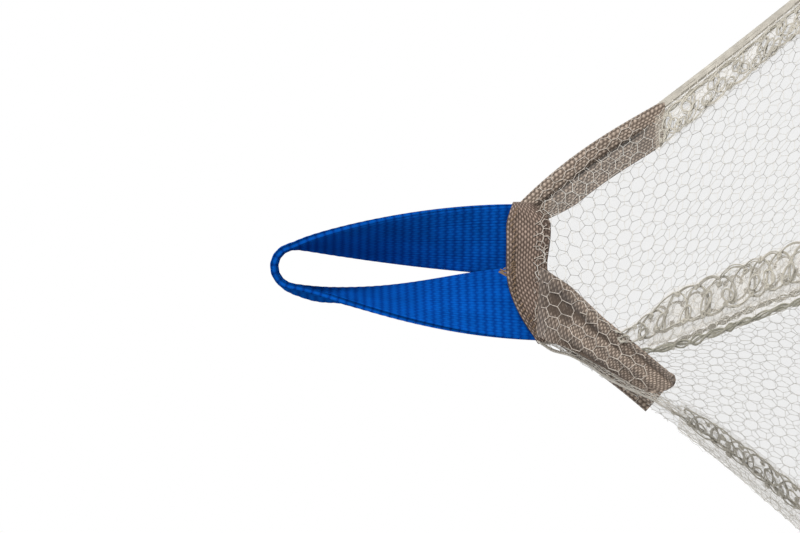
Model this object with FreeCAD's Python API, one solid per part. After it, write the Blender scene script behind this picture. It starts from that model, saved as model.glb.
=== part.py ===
import FreeCAD, Part
import math
import os

# A small sewn net that hangs from a webbing loop: four flared gores of fine hexagonal
# netting, joined by overlocked seams, with folded tape over the apex and round the mouth.
# Millimetres. +Z is up. The origin is the hanging point, where a hook bears on the inside
# of the loop's crown. The loop's flat side and the front seam face -Y.

# Webbing loop
WEBBING_WIDTH = 12.7
WEBBING_THICK = 1.3
CROWN_RADIUS = 3.5
CROWN_X = 0.6
LOOP_END_DEPTH = 37.3
ARM_BASE_X = {"right": 5.15, "left": -6.1}
ARM_BASE_Y = {"right": 0.75, "left": -0.75}
ARM_TWIST_DEG = {"right": 80.0, "left": 84.0}
ARM_TWIST_POWER = {"right": 1.0, "left": 1.5}
CROWN_STEPS = 12
ARM_STEPS = 9

# Flexing line between the loop and the sewn apex
FLEX_GAP = 3.0
APEX_TOP_DEPTH = LOOP_END_DEPTH + FLEX_GAP

# Tape wrapped round the apex and round the webbing's ends
TAPE_THICK = 0.75
WRAP_WIDTH = 25.8
WRAP_DEPTH = 6.7
WRAP_CORNER = 1.8
WRAP_HEIGHT = 6.6
WRAP_X = -0.5
STITCH_BAR = 0.4

# Net: how far each seam stands from the axis at a given depth below the origin
NET_AXIS_X = 1.0
FLARE_DEPTH = 42.0
FLARE_RADIUS = 10.5
FLARE_SLOPE = 0.70
FLARE_CURVE = 0.00108
NECK_PINCH = 9.0
NECK_LENGTH = 14.0
SWAY = 15.0
SWAY_DEPTH = 21.0
PANEL_TOP = APEX_TOP_DEPTH + WRAP_HEIGHT + 0.4
PANEL_BOTTOM = 183.0
PANEL_THICK = 0.4
NECK_STEPS = 4
SKIRT_STEPS = 8
SEAM_CLEARANCE = 1.3
CORNER_CLEARANCE = 0.8

# Folded tape caps over the top of each seam. Those over the right and left seams stand
# edge-on. Those over the front and back seams lie flat, mostly on the left of the seam.
CAP_WIDTH = 6.6
FACE_CAP_SPAN = (-7.5, 1.5)
CAP_THICK = 1.2
CAP_OVERHANG = 1.2
CAP_TOP_DEPTH = APEX_TOP_DEPTH + WRAP_HEIGHT + 1.0
CAP_END_DEPTH = 66.0
CAP_LIFT = 1.2
CAP_STEPS = 3

# Seam allowance and its stitches, which lie on the outside of one panel. Near the apex the
# front and back allowances stand up from their panels by FIN_LIFT_DEG, and lie flat lower down.
SEAM_TOP = CAP_END_DEPTH + 2.0
ALLOWANCE_SPAN = (0.3, 11.2)
ALLOWANCE_LAYER = (0.25, 0.65)
OVERLOCK_SPAN = (4.3, 10.8)
OVERLOCK_LAYER = (0.70, 1.00)
CHAIN_SPAN = (0.5, 1.5)
CHAIN_LAYER = (0.70, 1.30)
FIN_LIFT_DEG = {"right": 0.0, "front": 45.0, "left": 0.0, "back": 45.0}
FIN_FLAT_DEPTH = 160.0
FIN_FADE = 35.0

# Hem tape round the mouth
HEM_HEIGHT = 6.6
HEM_THICK = 1.4
HEM_STANDOFF = 1.7
HEM_GAP = 0.6
HEM_CORNER = 1.2
HEM_STITCH_RISE = 4.6

SEAMS = ("right", "front", "left", "back")
PANELS = (("right", "front"), ("front", "left"), ("left", "back"), ("back", "right"))
ALLOWANCE_ON = {"right": "front", "front": "right", "left": "front", "back": "right"}


def vec(x, y, z):
    return FreeCAD.Vector(x, y, z)


def save(shape, node):
    """Write one node, after checking that it is closed, valid solids."""
    if not shape.isValid() or shape.Volume <= 0 or not shape.Solids:
        raise RuntimeError("bad solid: " + node)
    shape.exportStep("parts/" + node + ".step")


def loft(sections):
    """A closed solid with straight rulings through a row of four-cornered sections."""
    wires = [Part.makePolygon(corners + [corners[0]]) for corners in sections]
    return Part.makeLoft(wires, True, True)


def webbing_section(centre, across, through):
    """Corners of the webbing's cross-section."""
    half_width = across * (WEBBING_WIDTH / 2)
    half_thick = through * (WEBBING_THICK / 2)
    return [centre - half_width - half_thick, centre + half_width - half_thick,
            centre + half_width + half_thick, centre - half_width + half_thick]


def arm_section(side, fraction):
    """Cross-section of one arm of the loop, 0 at the crown's end and 1 at its base.

    The arm's width turns from the depth direction at the crown to lie flat at the base."""
    sign = 1 if side == "right" else -1
    crown_centre_z = WEBBING_THICK / 2 - CROWN_RADIUS
    start = vec(CROWN_X + sign * CROWN_RADIUS, 0, crown_centre_z)
    end = vec(ARM_BASE_X[side], ARM_BASE_Y[side], -LOOP_END_DEPTH)
    ease = fraction ** 2 * (3 - 2 * fraction)
    centre = vec(start.x + (end.x - start.x) * fraction, end.y * ease,
                 start.z + (end.z - start.z) * fraction)
    turn = math.radians(ARM_TWIST_DEG[side]) * fraction ** ARM_TWIST_POWER[side]
    across = vec(-sign * math.sin(turn), math.cos(turn), 0)
    through = vec(sign * math.cos(turn), math.sin(turn), 0)
    return webbing_section(centre, across, through)


def crown_section(angle_deg):
    """Cross-section round the crown, 0 on the right and 180 on the left."""
    angle = math.radians(angle_deg)
    outward = vec(math.cos(angle), 0, math.sin(angle))
    centre = vec(CROWN_X, 0, WEBBING_THICK / 2 - CROWN_RADIUS) + outward * CROWN_RADIUS
    return webbing_section(centre, vec(0, 1, 0), outward)


def hanging_loop():
    right = [arm_section("right", 1 - i / ARM_STEPS) for i in range(ARM_STEPS)]
    crown = [crown_section(180 * i / CROWN_STEPS) for i in range(CROWN_STEPS + 1)]
    left = [arm_section("left", (i + 1) / ARM_STEPS) for i in range(ARM_STEPS)]
    return loft(right + crown + left)


def loop_ends():
    """The webbing's two cut ends, sewn inside the apex tape."""
    ends = []
    for side in ("right", "left"):
        top = [corner - vec(0, 0, FLEX_GAP) for corner in arm_section(side, 1)]
        bottom = [corner - vec(0, 0, WRAP_HEIGHT) for corner in top]
        ends.append(loft([top, bottom]))
    return Part.makeCompound(ends)


def rounded_prism(width, depth, corner, top, bottom):
    """Upright rectangular prism with rounded upright edges, centred on the apex."""
    low = vec(WRAP_X - width / 2, -depth / 2, -bottom)
    block = Part.makeBox(width, depth, bottom - top, low)
    upright = [edge for edge in block.Edges if edge.BoundBox.ZLength > (bottom - top) / 2]
    return block.makeFillet(corner, upright)


def apex_wrap():
    """Tape wound once round the apex: a closed band, open above and below."""
    bottom = APEX_TOP_DEPTH + WRAP_HEIGHT
    outer = rounded_prism(WRAP_WIDTH, WRAP_DEPTH, WRAP_CORNER, APEX_TOP_DEPTH, bottom)
    inner = rounded_prism(WRAP_WIDTH - 2 * TAPE_THICK, WRAP_DEPTH - 2 * TAPE_THICK,
                          WRAP_CORNER - TAPE_THICK, APEX_TOP_DEPTH - 1, bottom + 1)
    return outer.cut(inner)


def loop_stitching():
    """Stitch rows across the front and the back of the wrap that hold the webbing's ends."""
    length = WRAP_WIDTH - 2 * WRAP_CORNER
    rows = []
    for depth in (APEX_TOP_DEPTH + 1.2, APEX_TOP_DEPTH + WRAP_HEIGHT - 1.6):
        for face in (-1, 1):
            y = face * (WRAP_DEPTH / 2 + STITCH_BAR / 2)
            corner = vec(WRAP_X - length / 2, y - STITCH_BAR / 2, -depth - STITCH_BAR)
            rows.append(Part.makeBox(length, STITCH_BAR, STITCH_BAR, corner))
    return Part.makeCompound(rows)


def flare(depth):
    """Distance of a seam from the net's axis."""
    below = depth - FLARE_DEPTH
    return FLARE_RADIUS + FLARE_SLOPE * below + FLARE_CURVE * below ** 2


def pinched_flare(depth):
    """The same for the front and back seams, which the flat apex draws together."""
    top = APEX_TOP_DEPTH + WRAP_HEIGHT / 2
    return flare(depth) - NECK_PINCH * math.exp((top - depth) / NECK_LENGTH)


def sway(depth):
    """Sideways bow of the slack front and back seams below the apex."""
    part = (depth - FLARE_DEPTH) / SWAY_DEPTH
    return -SWAY * (part * math.exp(1 - part)) ** 2


def seam_point(seam, depth):
    if seam == "right":
        return vec(NET_AXIS_X + flare(depth), 0, -depth)
    if seam == "left":
        return vec(NET_AXIS_X - flare(depth), 0, -depth)
    if seam == "front":
        return vec(NET_AXIS_X + sway(depth), -pinched_flare(depth), -depth)
    return vec(NET_AXIS_X + sway(depth), pinched_flare(depth), -depth)


def depths(top, bottom, steps):
    """Levels from top to bottom, closer together near the top where the net curves most."""
    return [top + (bottom - top) * (i / steps) ** 1.6 for i in range(steps + 1)]


def skirt_levels():
    """Levels of the net below the seam caps."""
    return depths(SEAM_TOP, PANEL_BOTTOM, SKIRT_STEPS)


def panel_levels():
    """Levels of a whole panel, with the skirt's own among them so that layers stay parallel."""
    return depths(PANEL_TOP, SEAM_TOP, NECK_STEPS)[:-1] + skirt_levels()


def outward(a, b):
    """Level unit vector square to a panel's section, away from the net's axis."""
    along = b - a
    normal = vec(along.y, -along.x, 0).normalize()
    middle = (a + b) * 0.5 - vec(NET_AXIS_X, 0, 0)
    if normal.x * middle.x + normal.y * middle.y < 0:
        normal = normal * -1
    return normal


def trimmed(seam, at, along):
    """A panel section's end, kept clear of the cap or of the panel beside it."""
    if seam in ("right", "left"):
        return at + along * (SEAM_CLEARANCE / abs(along.y))
    return at + along * CORNER_CLEARANCE


def net_panel(first, second):
    """One gore of netting as a thin sheet between two seams."""
    sections = []
    for depth in panel_levels():
        a = seam_point(first, depth)
        b = seam_point(second, depth)
        along = (b - a).normalize()
        inset = outward(a, b) * -PANEL_THICK
        start = trimmed(first, a, along)
        end = trimmed(second, b, along * -1)
        sections.append([start, end, end + inset, start + inset])
    return loft(sections)


def seam_strip(seam, span, layer):
    """A flat strip beside a seam on the outside of the panel that carries the allowance."""
    other = ALLOWANCE_ON[seam]
    sections = []
    for depth in skirt_levels():
        fade = min(1, max(0, (FIN_FLAT_DEPTH - depth) / FIN_FADE))
        lift = math.radians(FIN_LIFT_DEG[seam]) * fade
        a = seam_point(seam, depth)
        b = seam_point(other, depth)
        level = (b - a).normalize()
        square = outward(a, b)
        along = level * math.cos(lift) + square * math.sin(lift)
        out = square * math.cos(lift) - level * math.sin(lift)
        sections.append([a + along * span[0] + out * layer[0], a + along * span[1] + out * layer[0],
                         a + along * span[1] + out * layer[1], a + along * span[0] + out * layer[1]])
    return loft(sections)


def side_cap(seam):
    """Folded tape over the top of the right or the left seam, edge-on to the axis."""
    sign = 1 if seam == "right" else -1
    top = seam_point(seam, CAP_TOP_DEPTH)
    bottom = seam_point(seam, CAP_END_DEPTH)
    along = (bottom - top).normalize()
    away = vec(-sign * along.z, 0, sign * along.x)
    outer = away * CAP_OVERHANG
    inner = outer - away * CAP_WIDTH
    through = vec(0, CAP_THICK / 2, 0)
    return loft([[p + inner - through, p + outer - through, p + outer + through, p + inner + through]
                 for p in (top, bottom)])


def face_cap(seam):
    """Folded tape over the top of the front or the back seam, flat against the net."""
    side = -1 if seam == "front" else 1
    low, high = FACE_CAP_SPAN
    sections = []
    for depth in depths(PANEL_TOP, CAP_END_DEPTH, CAP_STEPS):
        at = seam_point(seam, depth)
        near = at.y + side * CAP_LIFT
        far = near + side * CAP_THICK
        sections.append([vec(at.x + low, near, at.z), vec(at.x + high, near, at.z),
                         vec(at.x + high, far, at.z), vec(at.x + low, far, at.z)])
    return loft(sections)


def hem_bar(first, second, low, high, near, thick, trim):
    """An upright bar along one side of the mouth."""
    a = seam_point(first, PANEL_BOTTOM)
    b = seam_point(second, PANEL_BOTTOM)
    along = (b - a).normalize()
    out = outward(a, b)
    start = a + along * trim + out * near
    end = b - along * trim + out * near
    bottom = [vec(p.x, p.y, -low) for p in (start, end, end + out * thick, start + out * thick)]
    top = [vec(p.x, p.y, -high) for p in bottom]
    return loft([bottom, top])


def hem_tape(first, second):
    top = PANEL_BOTTOM + HEM_GAP
    return hem_bar(first, second, top + HEM_HEIGHT, top, HEM_STANDOFF, HEM_THICK, HEM_CORNER)


def hem_stitch(first, second):
    level = PANEL_BOTTOM + HEM_GAP + HEM_HEIGHT - HEM_STITCH_RISE
    near = HEM_STANDOFF + HEM_THICK
    return hem_bar(first, second, level + STITCH_BAR, level, near, STITCH_BAR, 2 * HEM_CORNER)


def main():
    os.makedirs("parts", exist_ok=True)
    save(hanging_loop(), "hanging_loop")
    save(loop_ends(), "loop_ends")
    save(apex_wrap(), "apex_wrap")
    save(loop_stitching(), "loop_stitching")
    for seam in SEAMS:
        cap = side_cap(seam) if seam in ("right", "left") else face_cap(seam)
        save(cap, "seam_cap_" + seam)
        save(seam_strip(seam, ALLOWANCE_SPAN, ALLOWANCE_LAYER), "seam_allowance_" + seam)
        save(seam_strip(seam, OVERLOCK_SPAN, OVERLOCK_LAYER), "overlock_stitch_" + seam)
        save(seam_strip(seam, CHAIN_SPAN, CHAIN_LAYER), "chain_stitch_" + seam)
    for first, second in PANELS:
        name = first + "_" + second
        save(net_panel(first, second), "net_panel_" + name)
        save(hem_tape(first, second), "hem_tape_" + name)
        save(hem_stitch(first, second), "hem_stitch_" + name)


main()
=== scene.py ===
import math

import bpy
import numpy as np
from mathutils import Matrix, Vector
from mathutils.bvhtree import BVHTree


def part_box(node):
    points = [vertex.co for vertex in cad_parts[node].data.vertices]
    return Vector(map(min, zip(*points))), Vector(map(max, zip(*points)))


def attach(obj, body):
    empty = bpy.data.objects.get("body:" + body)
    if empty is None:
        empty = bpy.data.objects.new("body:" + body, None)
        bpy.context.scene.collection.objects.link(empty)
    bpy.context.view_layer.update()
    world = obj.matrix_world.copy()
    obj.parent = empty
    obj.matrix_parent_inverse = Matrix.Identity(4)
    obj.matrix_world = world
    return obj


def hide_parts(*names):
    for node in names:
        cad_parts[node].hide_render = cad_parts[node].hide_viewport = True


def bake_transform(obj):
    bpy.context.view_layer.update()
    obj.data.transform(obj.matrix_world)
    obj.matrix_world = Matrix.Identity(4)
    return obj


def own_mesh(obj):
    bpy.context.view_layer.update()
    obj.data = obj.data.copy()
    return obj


# A small hexagonal-mesh net hung by its webbing loop, seen from the side. All sizes below
# are in millimetres and every mesh is scaled to metres when it is made.
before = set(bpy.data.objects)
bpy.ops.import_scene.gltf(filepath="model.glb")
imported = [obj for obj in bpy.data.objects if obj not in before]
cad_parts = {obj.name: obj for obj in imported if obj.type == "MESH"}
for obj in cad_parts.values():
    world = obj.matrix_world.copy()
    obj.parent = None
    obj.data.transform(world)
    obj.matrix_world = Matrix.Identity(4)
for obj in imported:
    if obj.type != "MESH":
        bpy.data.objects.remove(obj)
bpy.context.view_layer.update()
MM = 0.001

# -------- sizes
WEBBING_WIDTH = 12.7
WEBBING_THICK = 1.15
CROWN_RADIUS = 3.5
CROWN_X = 0.6
# Per arm of the loop, 1 for the right one and -1 for the left: where its foot is (x, y), how it
# bows outwards (size, skew, sharpness) and how it turns flat (angle at its foot, how late)
ARM_BASE = {1: (4.75, 0.75), -1: (-5.9, -0.75)}
ARM_BOW = {1: (0.9, 1.0, 0.5), -1: (1.33, 0.8, 1.5)}
ARM_TWIST = {1: (math.radians(82), 0.85), -1: (math.radians(88), 1.45)}
# The left arm is cupped across its width just below the crown
CUP_DEPTH = 1.3
CUP_PLACE = 6.6
CUP_LENGTH = 5.2
# The right arm ends this far above the wrap's lower edge
LOOP_TUCK = 3.4
RIB_PITCH = 1.5
WARP_PITCH = 0.53
WEAVE_HEIGHT = 0.14
SELVEDGE = 0.45

# The net's corners: their distance from the axis (depth it starts at, distance there, slope,
# curve), less near the apex at the front and back, where the seams also sway to the left
NET_AXIS_X = 1.0
FLARE = (42.0, 10.5, 0.70, 0.00108)
NECK_PINCH = 9.0
NECK_LENGTH = 14.0
SWAY = 15.0
SWAY_DEPTH = 21.0
# The left corner's dent (size, depth of its middle, length)
LEFT_DENT = (2.0, 72.0, 20.0)
# The seams' turned edges: how steeply they stand off the net, where they open out and where
# they lie down, and the gore that each lies on, named by that gore's other seam
FIN_LIFT = {"right": 0.0, "front": math.radians(45), "left": 0.0, "back": math.radians(45)}
FIN_START = 55.0
FIN_OPENING = 12.0
FIN_FLAT_DEPTH = 160.0
FIN_FADE = 35.0
ALLOWANCE_ON = {"right": "front", "front": "right", "left": "front", "back": "right"}

NET_PITCH = 2.8
THREAD_RADIUS = 0.048
DOUBLED_THREAD_RADIUS = 0.05
PANEL_SAG = 0.035
TAPE_THICK = 0.7
TAPE_WEFT = 0.88
TAPE_WARP = 0.44
CAP_WIDTH = 6.6
CAP_GAP = 1.9
WRAP_REACH = 12.2
HEM_HEIGHT = 6.6
HEM_GAP = 0.75
HEM_OUTSIDE = 2.4
OVERLOCK_YARN = 0.1
TACK_YARN = 0.13
LOCKSTITCH_YARN = 0.2
STITCH_PITCH = 4.5
SEAMS = ("right", "front", "left", "back")
PANELS = (("right", "front"), ("front", "left"), ("left", "back"), ("back", "right"))
SIDE_ON = (PANELS[1], PANELS[3])
WORLD_UP = np.array([0.0, 0.0, 1.0])


def box_mm(node):
    """A CAD piece's lower and upper corner, in millimetres."""
    low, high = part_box(node)
    return np.array(low) / MM, np.array(high) / MM


WRAP_LOW, WRAP_HIGH = box_mm("apex_wrap")
FLEX_END_DEPTH = -WRAP_HIGH[2]
NET_TOP = -WRAP_LOW[2]
PANEL_BOTTOM = -box_mm("net_panel_right_front")[0][2]
CAP_END_DEPTH = -box_mm("seam_cap_front")[0][2]
HEM_DEPTH = -box_mm("hem_tape_right_front")[0][2]
NET_BOTTOM = PANEL_BOTTOM + 3.2


# -------- helpers
def add_object(name, data):
    """A new object, linked to the scene."""
    thing = bpy.data.objects.new(name, data)
    bpy.context.scene.collection.objects.link(thing)
    return thing


def set_inputs(node, values):
    """Fills in a shader node's inputs."""
    for key, value in values.items():
        node.inputs[key].default_value = value


def add_node(nodes, kind, values, operation=None):
    """A new shader node with the given values of its inputs."""
    node = nodes.new("ShaderNode" + kind)
    if operation:
        node.operation = operation
    set_inputs(node, values)
    return node


def unit(vectors):
    """The vectors at length one."""
    return vectors / np.maximum(np.linalg.norm(vectors, axis=-1, keepdims=True), 1e-9)


def lengths_along(points):
    """How far each point is from the first, along the line that joins them."""
    return np.concatenate([[0], np.cumsum(np.linalg.norm(np.diff(points, axis=0), axis=1))])


def rows_at(wanted, places, points):
    """The points, which belong to the given places, interpolated at the wanted ones."""
    return np.stack([np.interp(wanted, places, column) for column in points.T], -1)


def smoothed(line, rounds):
    """The line with each point drawn towards its neighbours several times over."""
    for _ in range(rounds):
        line[1:-1] = (line[:-2] + 2 * line[1:-1] + line[2:]) / 4
    return line


# -------- camera, light, floor
LIT_POINT = (0.01, 0, -0.06)


def make_camera():
    """Looks along +Y, rolled so that the hanging direction runs to the right."""
    distance = 0.9
    frame_width = 0.1389
    data = bpy.data.cameras.new("camera")
    data.sensor_width = 36
    data.lens = 36 * distance / frame_width
    camera = add_object("camera", data)
    axes = Matrix(((0, 1, 0), (0, 0, -1), (-1, 0, 0)))
    camera.matrix_world = Matrix.Translation((0.0006, -distance, -0.0212)) @ axes.to_4x4()
    bpy.context.scene.camera = camera


def area_light(name, place, size, power):
    """A round soft light that faces the apex."""
    data = bpy.data.lights.new(name, "AREA")
    data.shape = "DISK"
    data.size = size
    data.energy = power
    light = add_object(name, data)
    back = (Vector(place) - Vector(LIT_POINT)).normalized()
    light.rotation_mode = "QUATERNION"
    light.rotation_quaternion = back.to_track_quat("Z", "Y")
    light.location = place


def make_lights():
    """Three soft lights, and a world that looks white but lights the net only dimly."""
    area_light("key", (0.40, -0.42, 0.12), 0.22, 3.4)
    area_light("fill", (-0.1, -0.8, 0.25), 0.5, 1.9)
    area_light("back_fill", (-0.3, 0.6, 0.3), 0.5, 2.0)
    world = bpy.data.worlds.new("studio")
    bpy.context.scene.world = world
    world.use_nodes = True
    nodes, links = world.node_tree.nodes, world.node_tree.links
    seen = add_node(nodes, "Background", {"Color": (1, 1, 1, 1), "Strength": 1.0})
    soft = nodes["Background"]
    set_inputs(soft, {"Color": (1, 1, 1, 1), "Strength": 0.5})
    path = add_node(nodes, "LightPath", {})
    mix = add_node(nodes, "MixShader", {})
    links.new(path.outputs["Is Camera Ray"], mix.inputs[0])
    links.new(soft.outputs[0], mix.inputs[1])
    links.new(seen.outputs[0], mix.inputs[2])
    links.new(mix.outputs[0], nodes["World Output"].inputs["Surface"])
    bpy.context.scene.view_settings.view_transform = "Standard"


def make_floor():
    """A pale disc just below the mouth."""
    radius, sides = 340, 96
    turn = 2 * math.pi * np.arange(sides) / sides
    ring = np.stack([radius * np.cos(turn), radius * np.sin(turn), 0 * turn], -1)
    paint = fabric("floor_paint", (0.80, 0.80, 0.79), (0.86, 0.86, 0.85), roughness=0.9, noise_mm=30,
                   sheen=0)
    floor = mesh_object("floor", ring, [range(sides)], paint)
    floor.location.z = -HEM_DEPTH * MM - 0.002


# -------- materials
def with_weave(nodes, links, noise):
    """Painted shade that follows the height of the weave, darker in its hollows, with a little of the fibre
    noise.
    """
    height = add_node(nodes, "Attribute", {})
    height.attribute_name = "relief_shade"
    spread = add_node(nodes, "Math", {1: 0.8}, "MULTIPLY")
    blend = add_node(nodes, "Math", {1: 0.35}, "MULTIPLY_ADD")
    links.new(height.outputs["Fac"], spread.inputs[0])
    links.new(noise, blend.inputs[0])
    links.new(spread.outputs[0], blend.inputs[2])
    return blend.outputs[0]


def with_blotches(nodes, links, coords, colour, size):
    """The colour with a slow change of shade, size millimetres long."""
    slow = add_node(nodes, "TexNoise", {"Scale": 1 / (size * MM)})
    links.new(coords.outputs["Object"], slow.inputs["Vector"])
    limits = {"From Min": 0.3, "From Max": 0.7, "To Min": 0.82, "To Max": 1.08}
    shade = add_node(nodes, "MapRange", limits)
    links.new(slow.outputs["Fac"], shade.inputs["Value"])
    tone = add_node(nodes, "VectorMath", {}, "SCALE")
    links.new(colour, tone.inputs[0])
    links.new(shade.outputs[0], tone.inputs["Scale"])
    return tone.outputs[0]


def fabric(name, dark, light, roughness=0.8, noise_mm=0.6, sheen=0.25, relief_shade=False, blotch=None,
           bump=0.0, alpha=1.0, specular=0.3):
    """Cloth or yarn: colour runs from dark to light with fibre noise and, where the mesh
    carries it, with painted shade from the weave's height, darker in its hollows. blotch adds a slow change
    of shade."""
    material = bpy.data.materials.new(name)
    material.use_nodes = True
    nodes, links = material.node_tree.nodes, material.node_tree.links
    shader = nodes["Principled BSDF"]
    set_inputs(shader, {"Roughness": roughness, "Specular IOR Level": specular, "Alpha": alpha,
                        "Sheen Weight": sheen, "Sheen Roughness": 0.5})
    coords = add_node(nodes, "TexCoord", {})
    noise = add_node(nodes, "TexNoise", {"Scale": 1 / (noise_mm * MM), "Detail": 4})
    links.new(coords.outputs["Object"], noise.inputs["Vector"])
    fibres = noise.outputs["Fac"]
    ramp = add_node(nodes, "ValToRGB", {})
    for stop, position, colour in zip(ramp.color_ramp.elements, (0.25, 0.85), (dark, light)):
        stop.position = position
        stop.color = (*colour, 1)
    links.new(with_weave(nodes, links, fibres) if relief_shade else fibres, ramp.inputs["Fac"])
    colour = ramp.outputs["Color"]
    if blotch:
        colour = with_blotches(nodes, links, coords, colour, blotch)
    links.new(colour, shader.inputs["Base Color"])
    if bump:
        fine = add_node(nodes, "Bump", {"Strength": bump, "Distance": 0.1 * MM})
        links.new(fibres, fine.inputs["Height"])
        links.new(fine.outputs["Normal"], shader.inputs["Normal"])
    return material


def make_materials():
    """Every look of the scene by its short name."""
    tape = {"roughness": 0.9, "noise_mm": 0.3, "relief_shade": True, "blotch": 3, "bump": 0.4, "sheen": 0.1,
            "specular": 0.15}
    return {
        "webbing": fabric("blue_webbing", (0.001, 0.018, 0.145), (0.002, 0.074, 0.36), roughness=0.75,
                          noise_mm=0.22, relief_shade=True, blotch=5, bump=0.3, sheen=0, specular=0),
        "tape": fabric("taupe_tape", (0.075, 0.055, 0.042), (0.40, 0.325, 0.265), **tape),
        # Darker than the tape: painted shade of the fold that the wrap lies in
        "wrap": fabric("taupe_wrap_painted_shade", (0.055, 0.038, 0.029), (0.325, 0.245, 0.20), **tape),
        "net": fabric("net_thread", (0.50, 0.48, 0.44), (0.70, 0.68, 0.63), noise_mm=3),
        # Darker and warmer than the net's thread: painted shade where the netting lies on the tape
        "over": fabric("net_over_tape_painted_shade", (0.36, 0.315, 0.27), (0.58, 0.51, 0.44), noise_mm=2),
        "fold": fabric("net_fold", (0.52, 0.48, 0.41), (0.80, 0.755, 0.68), noise_mm=1.5, blotch=4),
        "roll": fabric("net_roll", (0.33, 0.305, 0.26), (0.50, 0.47, 0.41), noise_mm=1.2, blotch=4),
        # Paler than the fold's thread: painted light to lift the shade that the left seam lies in;
        # see-through for its few threads
        "thin": fabric("net_fold_thin_painted_light", (0.66, 0.64, 0.59), (0.82, 0.80, 0.75), noise_mm=1.5, alpha=0.3),
        "haze": fabric("net_haze", (0.27, 0.27, 0.26), (0.33, 0.33, 0.32), noise_mm=2, alpha=0.115),
        "warm": fabric("doubled_net_haze", (0.60, 0.54, 0.45), (0.74, 0.68, 0.58), noise_mm=0.8, alpha=0.2),
        "seam": fabric("seam_thread", (0.31, 0.285, 0.235), (0.58, 0.545, 0.47), noise_mm=0.5, blotch=5),
        "chain": fabric("chain_thread", (0.20, 0.19, 0.15), (0.42, 0.40, 0.325), noise_mm=0.5, blotch=5),
        "tack": fabric("tack_thread", (0.11, 0.065, 0.035), (0.24, 0.165, 0.10), noise_mm=0.4),
    }


# -------- mesh builders
def mesh_object(name, points, faces, material, relief_shade=None):
    """A smooth-shaded piece from points in millimetres. Its last argument is the painted shade at each
    point, which follows the weave's height.
    """
    mesh = bpy.data.meshes.new(name)
    mesh.from_pydata(points * MM, [], np.asarray(faces).tolist())
    mesh.polygons.foreach_set("use_smooth", np.ones(len(mesh.polygons), bool))
    if relief_shade is not None:
        height = mesh.attributes.new("relief_shade", "FLOAT", "POINT")
        height.data.foreach_set("value", relief_shade.astype(np.float32))
    mesh.materials.append(material)
    mesh.update()
    return add_object(name, mesh)


def grid_faces(rows, columns, first=0, flip=False):
    """Faces between the points of a grid whose numbers start at first."""
    index = first + np.arange(rows * columns).reshape(rows, columns)
    a, b, c, d = index[:-1, :-1], index[1:, :-1], index[1:, 1:], index[:-1, 1:]
    order = (a, d, c, b) if flip else (a, b, c, d)
    return np.stack([part.ravel() for part in order], 1)


def sheet_normals(mid):
    """Unit vectors square to a grid of points."""
    return unit(np.cross(np.gradient(mid, axis=0), np.gradient(mid, axis=1)))


def cloth_strip(name, mid, half, front, back, material, tone=None):
    """A closed strip of cloth: a grid of mid-points, its half thickness, and the weave's
    height over each face. tone is the painted shade of each face, by default that height, darker in the
    weave's hollows."""
    rows, columns, _ = mid.shape
    normals = sheet_normals(mid)
    top = mid + normals * (half + front)[..., None]
    bottom = mid - normals * (half + back)[..., None]
    points = np.concatenate([top.reshape(-1, 3), bottom.reshape(-1, 3)])
    count = rows * columns
    faces = [grid_faces(rows, columns), grid_faces(rows, columns, count, flip=True)]
    index = np.arange(count).reshape(rows, columns)
    for edge in (index[0, ::-1], index[-1], index[:, 0], index[::-1, -1]):
        a, b = edge[:-1], edge[1:]
        faces.append(np.stack([a, b, b + count, a + count], 1))
    shade = tone or (front / front.max(), back / front.max())
    relief_shade = np.concatenate([shade[0].ravel(), shade[1].ravel()])
    return mesh_object(name, points, np.concatenate(faces), material, relief_shade)


def struts(starts, ends, radius, sides=3):
    """Points and faces of short threads that are a little thinner halfway."""
    along = unit(ends - starts)
    helper = np.where(np.abs(along[:, 2:3]) > 0.8, [[1.0, 0.0, 0.0]], [[0.0, 0.0, 1.0]])
    side = unit(np.cross(along, helper))
    other = np.cross(along, side)
    rings = []
    for share, swell in ((0.0, 1.15), (0.5, 0.8), (1.0, 1.15)):
        centre = starts + (ends - starts) * share
        for k in range(sides):
            turn = 2 * math.pi * k / sides
            rings.append(centre + (side * math.cos(turn) + other * math.sin(turn)) * radius * swell)
    points = np.stack(rings, 1)
    base = (np.arange(len(starts)) * 3 * sides)[:, None]
    faces = []
    for ring in (0, 1):
        for k in range(sides):
            a, b = ring * sides + k, ring * sides + (k + 1) % sides
            faces.append(np.concatenate([base + a, base + b, base + b + sides, base + a + sides], 1))
    return points.reshape(-1, 3), np.concatenate(faces)


def tube(path, out, radius, sides=5):
    """Points and faces of one thread. out is a direction that the path never follows."""
    along = unit(np.gradient(path, axis=0))
    side = unit(np.cross(along, out))
    other = np.cross(side, along)
    turns = 2 * math.pi * np.arange(sides) / sides
    ring = side[:, None] * np.cos(turns)[None, :, None] + other[:, None] * np.sin(turns)[None, :, None]
    points = (path[:, None] + ring * np.broadcast_to(radius, len(path))[:, None, None]).reshape(-1, 3)
    row = np.arange(len(path) - 1)[:, None] * sides
    k = np.arange(sides)[None]
    a, b = row + k, row + (k + 1) % sides
    quads = np.stack([a, b, b + sides, a + sides], -1).reshape(-1, 4)
    return points, quads


def joined(parts):
    """Several meshes' points and faces as one."""
    points, faces, count = [], [], 0
    for some, quads in parts:
        points.append(some)
        faces.append(np.asarray(quads) + count)
        count += len(some)
    return np.concatenate(points), np.concatenate(faces)


def threads(name, lines, radius, material, sides=5):
    """One piece from many threads, each given by its path and a direction it never follows."""
    parts = [tube(path, out, radius, sides) for path, out in lines]
    return mesh_object(name, *joined(parts), material)


# -------- the net's surface
def flare(depth):
    """Distance of the right and left corners from the net's axis."""
    top, radius, slope, curve = FLARE
    return radius + slope * (depth - top) + curve * (depth - top) ** 2


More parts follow.
